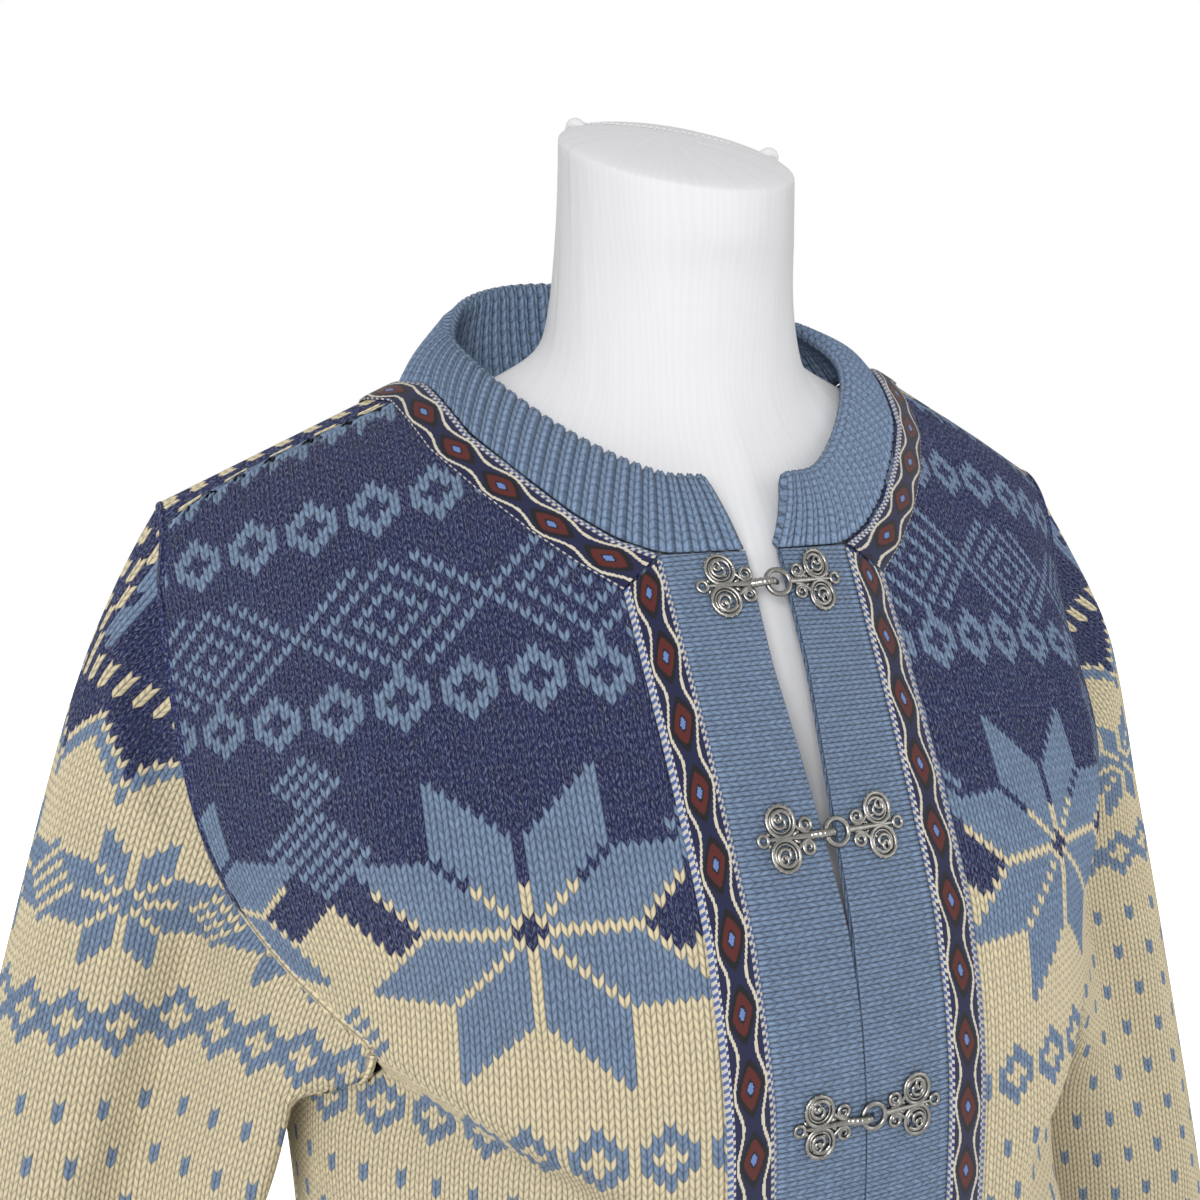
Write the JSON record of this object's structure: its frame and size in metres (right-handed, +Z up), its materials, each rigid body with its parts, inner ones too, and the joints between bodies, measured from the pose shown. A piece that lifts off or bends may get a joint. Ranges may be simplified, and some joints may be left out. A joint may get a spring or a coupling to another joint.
{
  "type": "cardigan on dress form",
  "caption": "Colourwork knitted cardigan with stand collar, ribbon-edged front bands and six hook-and-ring clasps, on a limbless dress form.",
  "frame": {"origin": "middle of the dress form's flat underside, on the surface it stands on", "axes": "+Z up, front of the garment faces -Y, +X to the wearer's left"},
  "size_m": [0.7498, 0.2957, 0.8153],
  "materials": {
    "knit_navy": "wool, two-colour stocking stitch, navy heather above cream",
    "knit_cream": "wool, two-colour stocking stitch, cream with light blue",
    "knit_light_blue": "wool, heathered light blue, ribbed collar, hems and cuffs and knitted bands",
    "woven_ribbon": "woven ribbon, navy, white, black and dark red",
    "clasp_metal": "antique pewter, darkened in the hollows",
    "form_cover": "fine white jersey"
  },
  "bodies": {
    "root": {"dress_form": "form_cover", "back": "knit_navy", "front_right": "knit_navy", "front_left": "knit_navy", "hem_back": "knit_light_blue", "hem_front_right": "knit_light_blue", "hem_front_left": "knit_light_blue", "sleeve_right": "knit_cream", "sleeve_left": "knit_cream", "cuff_right": "knit_light_blue", "cuff_left": "knit_light_blue", "front_band_right": "knit_light_blue", "front_band_left": "knit_light_blue", "collar": "knit_light_blue", "ribbon_front_right": "woven_ribbon", "ribbon_front_left": "woven_ribbon", "ribbon_neck": "woven_ribbon", "clasp_1_hook": "clasp_metal", "clasp_1_eye": "clasp_metal", "clasp_2_hook": "clasp_metal", "clasp_2_eye": "clasp_metal", "clasp_3_hook": "clasp_metal", "clasp_3_eye": "clasp_metal", "clasp_4_hook": "clasp_metal", "clasp_4_eye": "clasp_metal", "clasp_5_hook": "clasp_metal", "clasp_5_eye": "clasp_metal", "clasp_6_hook": "clasp_metal", "clasp_6_eye": "clasp_metal"}
  },
  "joints": []
}
